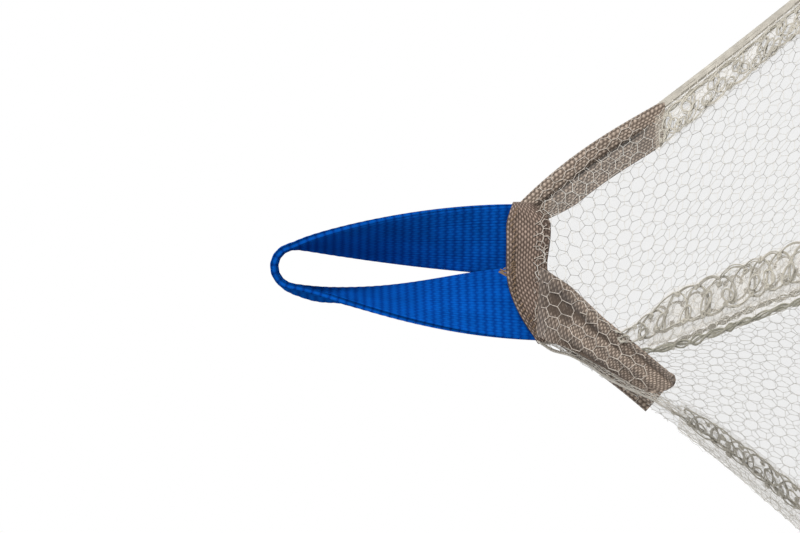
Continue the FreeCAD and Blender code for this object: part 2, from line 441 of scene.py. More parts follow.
def pinched_flare(depth):
    """Distance of the front and back corners from the net's axis: next to none at the apex."""
    middle = (NET_TOP + FLEX_END_DEPTH) / 2
    return flare(depth) - NECK_PINCH * np.exp((middle - depth) / NECK_LENGTH)


def sway(depth):
    """How far the front and back seams stand to the left of the axis."""
    part = np.maximum(depth - FLARE[0], 0) / SWAY_DEPTH
    return -SWAY * (part * np.exp(1 - part)) ** 2


def seam_point(seam, depth):
    """Points of a seam at the given depths below the hanging point."""
    depth = np.asarray(depth, float)
    none = np.zeros_like(depth)
    size, level, width = LEFT_DENT
    if seam == "right":
        x, y = NET_AXIS_X + flare(depth), none
    elif seam == "left":
        x, y = NET_AXIS_X - flare(depth) + size * np.exp(-((depth - level) / width) ** 2), none
    elif seam == "front":
        x, y = NET_AXIS_X + sway(depth), -pinched_flare(depth)
    else:
        x, y = NET_AXIS_X + sway(depth), pinched_flare(depth)
    return np.stack([x, y, -depth], -1)


def outward(a, b):
    """Level unit vectors square to the lines from a to b, away from the net's axis."""
    run = b - a
    normal = unit(np.stack([run[..., 1], -run[..., 0], np.zeros_like(run[..., 0])], -1))
    middle = (a + b) / 2 - np.array([NET_AXIS_X, 0, 0])
    facing = np.sign((normal * middle).sum(-1, keepdims=True))
    return normal * np.where(facing == 0, 1, facing)


def panel_point(panel, across, depth, lift=0.0):
    """Points of a gore: across runs 0 to 1 from its first seam to its second."""
    a, b = seam_point(panel[0], depth), seam_point(panel[1], depth)
    across = np.asarray(across, float)[..., None]
    width = np.linalg.norm(b - a, axis=-1, keepdims=True)
    sag = PANEL_SAG * width * 4 * across * (1 - across) * np.clip((width - 20) / 60, 0, 1)
    return a + (b - a) * across + outward(a, b) * (lift - sag)


class Gore:
    """A gore's flat pattern: distance down its middle and width at that distance. Places
    points of the pattern (side, down) on the net."""

    def __init__(self, panel, top, bottom):
        self.panel = panel
        self.depths = np.linspace(top, bottom, 400)
        self.down = lengths_along(panel_point(panel, np.full(400, 0.5), self.depths))
        a, b = seam_point(panel[0], self.depths), seam_point(panel[1], self.depths)
        self.width = np.linalg.norm(b - a, axis=1)
        self.length = self.down[-1]

    def half_width(self, down):
        return np.interp(down, self.down, self.width) / 2

    def place(self, spots):
        side, down = spots.T
        depth = np.interp(down, self.down, self.depths)
        across = 0.5 + side / (2 * self.half_width(down))
        return panel_point(self.panel, np.clip(across, 0, 1), depth)


# -------- hexagonal netting
def hex_lattice(length, half_width, pitch, side_on, rng, jitter=0.03):
    """Flat netting: points (side, down) and the pairs that threads join. side_on turns the
    cells a quarter turn."""
    edge = pitch / math.sqrt(3)
    zig_run, row_run = (2 * half_width, length) if side_on else (length, 2 * half_width)
    columns = int(zig_run / (pitch / 2)) + 3
    rows = int(row_run / (1.5 * edge)) + 3
    j, k = np.meshgrid(np.arange(rows), np.arange(columns), indexing="ij")
    zig = k * pitch / 2
    row = j * 1.5 * edge + np.where((j + k) % 2 == 0, edge / 4, -edge / 4)
    if side_on:
        points = np.stack([zig - half_width - pitch / 2, row - edge], -1)
    else:
        points = np.stack([row - half_width - edge, zig - pitch / 2], -1)
    points = points + rng.normal(0, jitter * pitch, points.shape)
    index = np.arange(rows * columns).reshape(rows, columns)
    zigzag = np.stack([index[:, :-1].ravel(), index[:, 1:].ravel()], 1)
    even = ((j + k) % 2 == 0)[:-1]
    upright = np.stack([index[:-1][even], index[1:][even]], 1)
    return points.reshape(-1, 2), np.concatenate([zigzag, upright])


def clipped(points, pairs, length, half_width, middle=0.0):
    """The threads' starts and ends, cut back to a strip of netting. half_width gives the
    strip's reach to each side of its middle at any distance down it."""

    def inside(p):
        reach = half_width(p[:, 1]) - np.abs(p[:, 0] - middle)
        return np.minimum(reach, np.minimum(p[:, 1], length - p[:, 1]))

    a, b = points[pairs[:, 0]], points[pairs[:, 1]]
    ga, gb = inside(a), inside(b)
    keep = (ga > 0) | (gb > 0)
    a, b, ga, gb = a[keep], b[keep], ga[keep], gb[keep]
    share = np.clip(ga / np.where(np.abs(ga - gb) < 1e-9, 1, ga - gb), 0, 1)[:, None]
    cut = a + (b - a) * share
    a = np.where((ga <= 0)[:, None], cut, a)
    b = np.where((gb <= 0)[:, None], cut, b)
    long_enough = np.linalg.norm(b - a, axis=1) > 0.05
    return a[long_enough], b[long_enough]


def panel_threads(panel, rng):
    """One gore of netting as real threads."""
    gore = Gore(panel, NET_TOP - 3.0, NET_BOTTOM)
    widest = gore.width.max() / 2
    points, pairs = hex_lattice(gore.length, widest, NET_PITCH, panel in SIDE_ON, rng)
    starts, ends = clipped(points, pairs, gore.length, gore.half_width)
    return struts(gore.place(starts), gore.place(ends), THREAD_RADIUS)


def panel_haze(panel, material):
    """The faint veil that the netting's loose fibres make, one thin sheet over a gore. Also
    gives the sheet's width at the mouth, its length and its area."""
    rows, columns = 60, 25
    depths = NET_TOP + (NET_BOTTOM - NET_TOP) * np.linspace(0, 1, rows) ** 1.4
    depth, across = np.meshgrid(depths, np.linspace(0.01, 0.99, columns), indexing="ij")
    mid = panel_point(panel, across, depth, lift=-0.15)
    points = mid.reshape(-1, 3)
    faces = grid_faces(rows, columns)
    corners = points[faces]
    diagonals = np.cross(corners[:, 2] - corners[:, 0], corners[:, 3] - corners[:, 1])
    area = np.linalg.norm(diagonals, axis=1).sum() / 2
    piece = mesh_object("net_cloth_" + "_".join(panel), points, faces, material)
    width = np.linalg.norm(mid[-1, -1] - mid[-1, 0])
    length = lengths_along(mid[:, columns // 2])[-1]
    return piece, (width * MM, length * MM), area * MM * MM


# -------- seams
# Per seam: where the overlock's yarns start, the band they cover beside the seam, and the loops
# between its edges (distance past each stitch, place across the band)
OVERLOCK_TOP = {"right": 66.0, "front": 57.8, "left": 70.0, "back": 66.0}
OVERLOCK_SPAN = {"right": (3.4, 9.6), "front": (4.3, 10.8), "left": (5.6, 12.0), "back": (2.4, 7.0)}
RINGS = {"right": ((0.2, 0.76), (1.7, 0.40), (3.1, 0.68)), "front": ((1.9, 0.36),),
         "left": ((1.9, 0.5), (3.9, 0.4)), "back": ()}
# Per seam: where the chain stitch starts, where it lies beside and above the seam, its width
CHAIN_TOP = {"right": 67.0, "front": 61.5, "left": 68.0, "back": 67.0}
CHAIN_PLACE = {"right": (2.6, -0.5), "front": (0.9, 0.8), "left": (6.2, 0.5), "back": (-0.4, 0.8)}
CHAIN_WIDTH = {"right": 0.4, "front": 0.5, "left": 0.2, "back": 0.4}
CHAIN_PITCH = 3.7
# Per seam: the netting rolled up at its edge (radius, thickness and number of the threads), and
# the mesh of the netting beside it
ROLL_RADIUS = {"right": 0.8, "front": 0.4, "left": 0.5, "back": 0.2}
ROLL_THREAD = {"right": 0.19, "front": 0.05, "left": 0.04, "back": 0.04}
ROLL_COUNT = {"right": 16, "front": 4, "left": 5, "back": 3}
EDGE_PITCH = {"right": 1.9, "front": 2.1, "left": 2.3, "back": 2.6}


class SeamLine:
    """Places points by distance along a seam, across its allowance and above it."""

    def __init__(self, seam, top, bottom):
        self.seam = seam
        self.depths = np.linspace(top, bottom, 600)
        self.along = lengths_along(seam_point(seam, self.depths))
        self.length = self.along[-1]

    def place(self, along, across, above):
        depth = np.interp(along, self.along, self.depths)
        a, b = seam_point(self.seam, depth), seam_point(ALLOWANCE_ON[self.seam], depth)
        fade = np.clip((FIN_FLAT_DEPTH - depth) / FIN_FADE, 0, 1)
        if FIN_LIFT[self.seam]:
            across = across * np.clip((depth - FIN_START) / FIN_OPENING, 0.3, 1)
        lift = (FIN_LIFT[self.seam] * fade)[..., None]
        level, square = unit(b - a), outward(a, b)
        spread = level * np.cos(lift) + square * np.sin(lift)
        out = square * np.cos(lift) - level * np.sin(lift)
        return a + spread * np.asarray(across)[..., None] + out * np.asarray(above)[..., None], out


def wander(rng, count, samples, size):
    """A smooth random value for each sample, one knot to a stitch."""
    knots = rng.normal(0, size, count + 4)
    return np.interp(np.linspace(0, count + 3, samples), np.arange(count + 4), knots)


def stitch_places(line, rng, pitch):
    """Uneven places of the stitches along a seam, and close samples between them: as a
    number of stitches and as a place along the seam."""
    count = int(line.length / pitch)
    steps = 1 + 0.22 * rng.normal(size=count).clip(-1.3, 1.3)
    places = np.concatenate([[0], np.cumsum(steps)])
    places = places * line.length / places[-1]
    t = np.arange(0, count, 0.05)
    return places, t, np.interp(t, np.arange(count + 1), places)


def strands(line, along, across, above, rng, count, spread):
    """One yarn as a few fine strands that wind loosely round each other."""
    lines = []
    samples = len(along)
    for k in range(count):
        twist = 2 * math.pi * (k / count + np.linspace(0, samples / 46, samples) + rng.random())
        loose = 1 + 0.5 * np.sin(np.linspace(0, samples / 31, samples) + 6 * rng.random())
        lines.append(line.place(np.clip(along + spread * loose * np.sin(twist), 0, line.length),
                                across + spread * loose * np.cos(twist),
                                above + 0.6 * spread * np.sin(twist + 1)))
    return lines


def rings(places, rng, middle, radii, height, tilt=0.1, turns=2.2):
    """One loop of yarn near each stitch place, as along and across runs and their height."""
    runs = []
    for place in places:
        turn = 2 * math.pi * (np.linspace(0, turns, 22) + rng.random())
        long_r, wide_r = radii[0] * rng.uniform(0.8, 1.2), radii[1] * rng.uniform(0.8, 1.15)
        lean = tilt * rng.normal()
        along, across = long_r * np.cos(turn), wide_r * np.sin(turn)
        runs.append((place + along + lean * across, middle + 0.35 * rng.normal() + across, height))
    return runs


def overlock(seam, rng, material):
    """The overlock yarns of one seam: scallops and knots along both edges of the band, long
    loops across it and rounder loops between them. The back seam, seen only through the
    netting, has just the scallops and knots."""
    line = SeamLine(seam, OVERLOCK_TOP[seam], PANEL_BOTTOM + 1.5)
    inner, outer = OVERLOCK_SPAN[seam]
    band = outer - inner
    outer_row, inner_row, lag = outer - 1.0, inner + 0.9, 1.4
    places, t, along = stitch_places(line, rng, STITCH_PITCH)
    size = 1 + wander(rng, len(places), len(t), 0.18)
    drift = wander(rng, len(places), len(t), 0.25)
    runs = [
        (along, outer_row + 1.0 * np.abs(np.sin(math.pi * t)) ** 0.7 * size, 1.15),
        (along + lag, inner_row - 0.95 * np.abs(np.sin(math.pi * t)) ** 0.7 * size, 0.95),
    ]
    if seam != "back":
        across = inner + band * (0.5 + 0.42 * np.cos(2 * math.pi * t)) + drift
        runs.append((along + 1.5 * size * np.sin(2 * math.pi * t), across, 0.8))
    for shift, share in RINGS[seam]:
        radii = (1.05, 0.22 * band)
        runs += rings(places[:-1] + shift, rng, inner + share * band, radii, 1.05, 0.25, 1.15)
    runs += rings(places, rng, outer_row, (0.34, 0.34), 1.25)
    runs += rings(places + lag, rng, inner_row, (0.38, 0.34), 1.1)
    lines = []
    for run_along, run_across, height in runs:
        above = height + 0.2 * np.sin(np.linspace(0, len(run_along) / 7, len(run_along)))
        lines += strands(line, run_along, run_across, above, rng, count=3, spread=0.17)
    return threads("overlock_" + seam, lines, OVERLOCK_YARN, material, sides=4)


def chain(seam, rng, material):
    """The chain stitch beside the seam: two yarns that cross at every stitch, and a third
    that runs between them."""
    line = SeamLine(seam, CHAIN_TOP[seam], PANEL_BOTTOM + 1.5)
    places, t, along = stitch_places(line, rng, CHAIN_PITCH)
    size = CHAIN_WIDTH[seam] * (1 + wander(rng, len(places), len(t), 0.2))
    beside, height = CHAIN_PLACE[seam]
    lines = []
    for swing, phase in ((1, 0.0), (-1, 0.0), (0.45, 0.5)):
        turn = math.pi * (t + phase)
        across = beside + swing * size * np.sin(turn)
        above = height + 0.28 * swing * np.cos(turn)
        lines += strands(line, along, across, above, rng, count=4, spread=0.15)
    yarn = 0.06 + 0.08 * CHAIN_WIDTH[seam]
    return threads("chain_stitch_" + seam + "_thread", lines, yarn, material, sides=4)


def allowance(seam, rng, materials):
    """The doubled edges of two panels beside a seam: loose netting, the netting drawn
    tight along the fold, and the faint veil of both."""
    line = SeamLine(seam, OVERLOCK_TOP[seam] - 0.6, NET_BOTTOM)
    outer = OVERLOCK_SPAN[seam][1]
    points, pairs = hex_lattice(line.length, outer, EDGE_PITCH[seam], False, rng, 0.07)
    a, b = clipped(points, pairs, line.length, lambda down: outer / 2, outer / 2)
    starts, ends = (line.place(spots[:, 1], spots[:, 0], 0.3)[0] for spots in (a, b))
    loose = struts(starts, ends, DOUBLED_THREAD_RADIUS)
    tight = fold_threads(line, rng, seam)
    rows, columns = 120, 8
    along, across = np.meshgrid(np.linspace(0, line.length, rows), np.linspace(0.1, outer, columns),
                                indexing="ij")
    veil_points, _ = line.place(along, across, 0.12)
    veil = (veil_points.reshape(-1, 3), grid_faces(rows, columns))
    name = "seam_allowance_" + seam + "_net"
    piece = mesh_object(name, *joined([loose, tight, veil]), materials["fold"])
    # The left seam's drawn threads take the paler copy, painted light
    piece.data.materials.append(materials["thin" if seam == "left" else "roll"])
    piece.data.materials.append(materials["warm"])
    tight_slot = 1 if seam in ("right", "left") else 0
    slots = np.repeat([0, tight_slot, 2], [len(loose[1]), len(tight[1]), len(veil[1])])
    piece.data.polygons.foreach_set("material_index", slots.astype(np.int32))
    return piece


def fold_threads(line, rng, seam):
    """Netting drawn tight round the seam's edge: threads close together, in a roll at the
    edge and, beside the left seam, in a wide flat fold."""
    parts = []
    samples = int(line.length / 1.1)
    radius = ROLL_RADIUS[seam]
    flatness = 0.4 if seam == "right" else 1
    along = np.linspace(0, line.length, samples)
    for k in range(ROLL_COUNT[seam]):
        angle = 2 * math.pi * k / ROLL_COUNT[seam] + wander(rng, samples // 4, samples, 0.08)
        across = 0.2 + radius * (1 + np.cos(angle))
        points, out = line.place(along, across, flatness * radius * np.sin(angle))
        parts.append(tube(points, out + 0.3 * WORLD_UP, ROLL_THREAD[seam], 3))
    if seam == "left":
        for k in range(11):
            across = 0.4 + 0.45 * k + wander(rng, samples // 5, samples, 0.3)
            points, out = line.place(along, across, 0.55 + 0.2 * rng.normal(size=samples))
            parts.append(tube(points, out, 0.04, 3))
    return joined(parts)


# -------- webbing loop
def loop_path():
    """Mid-line points, width direction and length along the loop, right base to left base."""
    centre_z = WEBBING_THICK / 2 + 0.1 - CROWN_RADIUS
    arm_rows = 190
    share = np.linspace(1, 0, arm_rows, endpoint=False)
    arms = []
    for sign in (1, -1):
        turn_end, power = ARM_TWIST[sign]
        bow, skew, sharp = ARM_BOW[sign]
        base_x, base_y = ARM_BASE[sign]
        start_x = CROWN_X + sign * CROWN_RADIUS
        bulge = sign * bow * np.clip(np.sin(math.pi * share ** skew), 0, 1) ** sharp
        x = start_x + (base_x - start_x) * share + bulge
        y = base_y * share ** 2 * (3 - 2 * share)
        z = centre_z + (-NET_TOP + 1.0 - centre_z) * share
        turn = turn_end * share ** power
        across = np.stack([-sign * np.sin(turn), np.cos(turn), 0 * turn], -1)
        arms.append((np.stack([x, y, z], -1), across))
    angle = np.linspace(0, math.pi, 60)
    crown = np.stack([CROWN_X + CROWN_RADIUS * np.cos(angle), 0 * angle,
                      centre_z + CROWN_RADIUS * np.sin(angle)], -1)
    crown_across = np.tile([0.0, 1.0, 0.0], (len(angle), 1))
    line = smoothed(np.concatenate([arms[0][0], crown, arms[1][0][::-1]]), 30)
    across = smoothed(np.concatenate([arms[0][1], crown_across, arms[1][1][::-1]]), 30)
    kept = (line[:, 2] > LOOP_TUCK - NET_TOP) | (line[:, 0] < CROWN_X)
    return line[kept], across[kept], lengths_along(line[kept])


def webbing_relief(along, across, offset):
    """Height and painted shade of a ribbed webbing, darker between its yarns: weft ribs across it, warp
    yarns over them.
    """
    yarn = across / WARP_PITCH
    odd = np.floor(yarn) % 2
    round_yarn = np.sqrt(np.clip(1 - 0.9 * (2 * (yarn % 1) - 1) ** 2, 0, 1))
    rib = 0.5 + 0.5 * np.cos(2 * math.pi * (along / RIB_PITCH + offset) + 0.9 * (odd - 0.5))
    return WEAVE_HEIGHT * round_yarn * (0.6 + 0.4 * rib), round_yarn * (0.38 + 0.62 * rib ** 0.8)


def webbing_loop(material):
    """The whole webbing as one strip, bent round the crown, from its right to its left end."""
    line, across, length = loop_path()
    columns = 93
    side = np.linspace(-WEBBING_WIDTH / 2, WEBBING_WIDTH / 2, columns)
    even = np.linspace(0, length[-1], 520)
    middle = rows_at(even, length, line)
    spread = unit(rows_at(even, length, across))
    along, offset = np.meshgrid(even, side, indexing="ij")
    mid = middle[:, None] + spread[:, None] * offset[..., None]
    on_left = np.clip((CROWN_X - middle[:, 0]) / CROWN_RADIUS, 0, 1) ** 2
    cup = CUP_DEPTH * on_left * np.exp(-((-middle[:, 2] - CUP_PLACE) / CUP_LENGTH) ** 2)
    mid[..., 0] -= cup[:, None] * np.cos(math.pi * offset / WEBBING_WIDTH)
    rim = np.clip((WEBBING_WIDTH / 2 - np.abs(offset)) / SELVEDGE, 0, 1)
    dots = np.exp(-(((along / RIB_PITCH) % 1 - 0.5) / 0.15) ** 2)
    # Painted shade of the weave, darker between yarns and ribs; along the selvedge a flat tone with dark
    # dots
    heights, shades = [], []
    for shift in (0.0, 0.5):
        height, shade = webbing_relief(along, offset, shift)
        heights.append(height * (0.2 + 0.8 * rim))
        shades.append(rim * shade + (1 - rim) * (0.70 - 0.5 * dots))
    half = (WEBBING_THICK / 2 - WEAVE_HEIGHT / 2) * (0.78 + 0.22 * np.sqrt(rim))
    return cloth_strip("webbing_loop", mid, half, *heights, material, shades)


# -------- tape
def tape_relief(along, across):
    """Loose plain weave: short yarn floats in staggered rows."""
    odd = np.floor(across / TAPE_WARP) % 2
    yarn = np.abs(np.sin(math.pi * across / TAPE_WARP))
    flecks = (0.5 + 0.5 * np.cos(2 * math.pi * along / TAPE_WEFT + math.pi * odd)) ** 1.5
    return 0.1 * yarn * (0.25 + 0.75 * flecks)


def tape_strip(name, mid, along, across, material, dark):
    """A strip of tape; dark lowers the weave in its creases and folds and paints shade there, 1 the most.
    """
    front = tape_relief(along, across) * (1 - dark)
    back = tape_relief(along + 0.4, across) * (1 - dark)
    half = np.full(along.shape, TAPE_THICK / 2 - 0.08)
    return cloth_strip(name, mid, half, front, back, material)


def wrap_top(x):
    """Depth of the wrap's upper edge: it slants down towards the left."""
    left = 5.3 * (np.clip(-x, 0, None) / WRAP_REACH) ** 1.8
    return FLEX_END_DEPTH - 0.7 + left + 0.06 * np.clip(x - 7.0, 0, None) ** 2


def wrap_bottom(x):
    """Depth of the wrap's lower edge: cut away at the right, where the seam tape takes over."""
    right = 3.6 * np.clip((x - 8.2) / 4.0, 0, 1) ** 1.5
    left = 2.6 * (np.clip(-x, 0, None) / WRAP_REACH) ** 1.5
    return NET_TOP + 0.1 - right + left + 0.3 * np.sin(x / 1.9 - 2)


def apex_wrap(material):
    """Tape wound round the apex and the webbing's ends."""
    rows, columns = 84, 540
    angle = np.linspace(0, 2 * math.pi, columns)
    centre = (WRAP_LOW + WRAP_HIGH) / 2
    half_x, half_y = (WRAP_HIGH[0] - WRAP_LOW[0]) / 2 - 0.9, (WRAP_HIGH[1] - WRAP_LOW[1]) / 2 - 0.2
    squareness = 0.55
    x = centre[0] + half_x * np.sign(np.cos(angle)) * np.abs(np.cos(angle)) ** squareness
    y = centre[1] - half_y * np.sign(np.sin(angle)) * np.abs(np.sin(angle)) ** squareness
    steps = lengths_along(np.stack([x, y], -1))
    even = np.linspace(0, steps[-1], columns)
    x, y = np.interp(even, steps, x), np.interp(even, steps, y)
    share = np.linspace(0, 1, rows)[:, None]
    depth = wrap_top(x)[None] + share * (wrap_bottom(x) - wrap_top(x))[None]
    pinch = 1 - 0.10 * np.sin(math.pi * share)
    wave = 0.2 * np.sin(even / 1.7)[None] * share + 0.10 * np.sin(even / 0.9 + 5 * share)
    mid = np.stack([np.broadcast_to(x, depth.shape), y[None] * pinch + wave, -depth], -1)
    down, across = np.meshgrid(share[:, 0] * (NET_TOP - FLEX_END_DEPTH), even, indexing="ij")
    # Painted shade over the wrap's lower right, where it lies in a fold: the weave is lowered and darkened
    # there
    shaded = np.clip((down - 4.6) / 1.6, 0, 1) * np.clip((mid[..., 0] - 0.4) / 1.5, 0, 1)
    return tape_strip("apex_tape", mid, across, down, material, dark=0.6 * shaded)


def folded_tape(name, line, width_dir, width, gap, material, grow=0.0, valley=None, trued=1.0,
                columns=97, slim=0.0):
    """Tape folded lengthwise over an edge: line is the fold, width_dir points from the fold
    to the cut edges, and the two layers stand gap apart. valley is the distance from the
    fold of a lengthwise crease, trued is how far the width is kept square to the fold, and
    slim is the share of the width that the tape lacks at its top."""
    rows = len(line)
    step = np.linspace(-width, width, columns)
    bend = gap / 2
    round_part = np.abs(step) < bend
    turn = step / bend * math.pi / 2
    sideways = np.where(round_part, np.sin(turn), np.sign(step)) * bend
    rise = np.where(round_part, bend * (1 - np.cos(turn)), np.abs(step))
    tangent = unit(np.gradient(line, axis=0))
    width_dir = unit(width_dir - trued * tangent * (width_dir * tangent).sum(-1, keepdims=True))
    side = unit(np.cross(tangent, width_dir))
    share = np.linspace(0, 1, rows)[:, None]
    spread = 1 + grow * share * (rise / width)[None]
    crease = np.exp(-((rise - valley) / 0.55) ** 2)[None] if valley else np.zeros((1, columns))
    crease = crease * np.clip(np.sin(math.pi * np.clip(share * 1.1, 0, 1)) * 2.2, 0, 1)
    reach = 1 - slim * (1 - np.clip(share / 0.3, 0, 1)) ** 1.5
    mid = line[:, None] + width_dir[:, None] * (reach * rise)[..., None]
    mid = mid + side[:, None] * (sideways[None] * spread * (1 - 0.75 * crease))[..., None]
    along, across = np.meshgrid(lengths_along(line), step, indexing="ij")
    # Painted shade along the crease: the weave is lowered and darkened there
    return tape_strip(name, mid, along, across, material, dark=0.9 * crease)


def smooth_line(points, count):
    """A smooth line along a few given points."""
    points = np.asarray(points, float)
    steps = lengths_along(points)
    return smoothed(rows_at(np.linspace(0, steps[-1], count), steps, points), count // 6)


def side_cap(seam, material):
    """Tape folded over the top of the right or left seam, open towards the net's middle."""
    share = np.linspace(0, 1, 170)
    if seam == "right":
        sign, top, bottom = 1, FLEX_END_DEPTH + 0.4, CAP_END_DEPTH + 0.9
        level, offset = share[:, None] ** 3, -0.45 + 1.5 * np.sin(math.pi * share ** 0.9)
        valley, slim = 2.9, 0.4
    else:
        sign, top, bottom = -1, NET_TOP - 1.5, 64.3
        level, offset = 0, -0.9 + 1.4 * share ** 2
        valley, slim = None, 0
    away = unit(np.array([sign * 0.82, 0, 0.57]))
    inwards = -unit(away * (1 - level) + level * np.array([sign, 0, 0]))
    line = seam_point(seam, top + (bottom - top) * share) + away * offset[:, None]
    return folded_tape("seam_tape_" + seam, line, inwards, CAP_WIDTH, CAP_GAP, material, grow=0.5,
                       valley=valley, trued=1 - level, columns=145, slim=slim)


# Edges of the front tape as (x, depth), from the wrap down to the tape's tip
FACE_CAP_UPPER = ((0.4, 45.6), (-2.6, 50.2), (-8.2, 55.6), (-14.6, 63.2), (-18.9, 68.4))
FACE_CAP_LOWER = ((-11.4, 45.0), (-13.4, 50.0), (-17.2, 57.0), (-21.3, 64.3))


def face_cap(seam, material):
    """Pleated tape over the top of the front or back seam. It leans to the left and ends in
    an oblique cut."""
    side = -1 if seam == "front" else 1
    rows, columns = 210, 90
    upper, lower = smooth_line(FACE_CAP_UPPER, rows), smooth_line(FACE_CAP_LOWER, rows)
    share, v = np.meshgrid(np.linspace(0, 1, rows), np.linspace(0, 1, columns), indexing="ij")
    flat = upper[:, None] + (lower - upper)[:, None] * v[..., None]
    rounding = 1.7 * np.clip(10 * share - 9, 0, 1) * ((1 - v) ** 6 + v ** 6)
    flat = flat - unit(upper[-1] - upper[0]) * rounding[..., None]
    depth = flat[..., 1]
    near = pinched_flare(upper[:, 1])[:, None] + 1.0 - 1.8 * np.exp((FACE_CAP_UPPER[0][1] - depth) / 1.2)
    pleats = 0.50 * np.sin(9.5 * v + 2.4 * share + 0.6) + 0.28 * np.sin(21 * v - 6 * share)
    pleats = pleats * (1 - 0.75 * share ** 3) * np.clip(share * 6, 0, 1)
    hollow = np.exp(-((v - 0.38) / 0.30) ** 2 - ((share - 0.15) / 0.11) ** 2)
    y = side * (near - 4.0 * v * share + pleats - 1.3 * hollow)
    mid = np.stack([flat[..., 0], y, -depth], -1)
    long_way = lengths_along(upper)[-1]
    wide = np.linalg.norm(lower - upper, axis=1).mean()
    # Painted shade in the pleats' valleys and in the hollow: the weave is lowered and darkened there
    dark = np.clip(0.75 * np.clip(-pleats * 2.2, 0, 1) + 0.7 * hollow, 0, 0.8)
    along, across = share * long_way + 2.2 * v, v * wide
    return tape_strip("seam_tape_" + seam, mid, across, along, material, dark=dark)


# -------- netting drawn over the tape
FACE_NAME = {-1: "_front", 1: "_back"}
# Netting drawn over the tape: the part of the net it covers (x from and to, depth from and to),
# its cells' size, tilt and stretch along the tilted length, and its threads' radius
COVERS = {
    "net_over_left": ((-26, 0.5, FLEX_END_DEPTH + 3.9, CAP_END_DEPTH - 3.0), 2.3, 0.73, 1.15, 0.095),
    "net_over_right": ((0.5, 32, FLEX_END_DEPTH + 3.9, CAP_END_DEPTH - 3.0), 2.1, -0.75, 1.25, 0.085),
    "net_bunched": ((1.2, 9.0, FLEX_END_DEPTH + 4.4, NET_TOP + 1.0), 1.5, 0.5, 1.0, 0.075),
}


def cover_net(kind, covered, side, rng, material):
    """Netting that lies on the tape, its threads dropped onto the tape's surface from the
    front of the net (side -1) or its back (side 1)."""
    (x0, x1, deep0, deep1), pitch, tilt, drawn, radius = COVERS[kind]
    tapes = []
    for piece in covered:
        some = np.empty(len(piece.data.vertices) * 3)
        piece.data.vertices.foreach_get("co", some)
        tapes.append((some.reshape(-1, 3) / MM, [tuple(face.vertices) for face in piece.data.polygons]))
    points, faces = joined(tapes)
    tree = BVHTree.FromPolygons(points.tolist(), faces.tolist())
    flat, pairs = hex_lattice(deep1 - deep0 + 14, (x1 - x0) / 2 + 14, pitch, False, rng, 0.07)
    turn = np.array([[math.cos(tilt), -math.sin(tilt)], [math.sin(tilt), math.cos(tilt)]])
    flat = (flat - [0, (deep1 - deep0) / 2 + 7]) * [1 / drawn, drawn]
    flat = flat @ turn.T + [(x0 + x1) / 2, (deep0 + deep1) / 2]
    mids = (flat[pairs[:, 0]] + flat[pairs[:, 1]]) / 2

    def drop(spots):
        found = np.full((len(spots), 3), np.nan)
        for i, (x, depth) in enumerate(spots):
            if x0 < x < x1 and deep0 < depth < deep1:
                hit = tree.ray_cast((x, side * 80, -depth), (0, -side, 0))[0]
                if hit is not None:
                    found[i] = (hit.x, hit.y + side * 0.13, hit.z)
        return found

    ends, middle = drop(flat), drop(mids)
    parts = []
    for k in (0, 1):
        end = ends[pairs[:, k]]
        good = np.abs(end[:, 1] - middle[:, 1]) < 1.6
        parts.append(struts(end[good], middle[good], radius))
    return mesh_object(kind + FACE_NAME[side], *joined(parts), material)


# Edges of the bunched netting as (x, depth), from the wrap's lower corner downwards
GATHER_OUTER = ((-12.2, 44.6), (-14.2, 47.4), (-14.9, 50.6), (-16.8, 54.2), (-19.0, 57.0),
                (-20.4, 60.0), (-22.4, 64.5), (-25.4, 69.5))
GATHER_INNER = ((-9.6, 46.0), (-13.0, 51.0), (-16.2, 56.0), (-19.2, 61.5), (-21.4, 66.0),
                (-24.6, 71.0))


def gathered_net(rng, side, material):
    """Netting bunched into a narrow bundle beside the left seam's tape. side is -1 for the
    front of the net and 1 for its back."""
    outer, inner = smooth_line(GATHER_OUTER, 200), smooth_line(GATHER_INNER, 200)
    length, flat_width = 29.0, 9.0

    def place(p, layer):
        v = p[:, 0] / flat_width + 0.5
        t = p[:, 1] / length * 199
        low, high = rows_at(t, np.arange(200), outer), rows_at(t, np.arange(200), inner)
        spot = low + (high - low) * v[:, None]
        y = 0.8 + v * (0.55 * pinched_flare(spot[:, 1])) + 0.6 * np.sin(14 * v + layer) + 0.5 * layer
        return np.stack([spot[:, 0], side * y, -spot[:, 1]], -1)

    parts = []
    for layer in range(2):
        points, pairs = hex_lattice(length, flat_width / 2, 2.5, layer == 1, rng, 0.1)
        a, b = clipped(points, pairs, length, lambda down: flat_width / 2)
        parts.append(struts(place(a, layer), place(b, layer), DOUBLED_THREAD_RADIUS))
    for k in range(7):
        down = np.linspace(0.3, length - 0.3, 90)
        edge = flat_width * (0.02 + 0.025 * k - 0.5) + wander(rng, 12, 90, 0.08)
        path = place(np.stack([edge, down], -1), 1)
        parts.append(tube(path, (0.0, side, 0.3), 0.06, 3))
    return mesh_object("gathered_net" + FACE_NAME[side], *joined(parts), material)


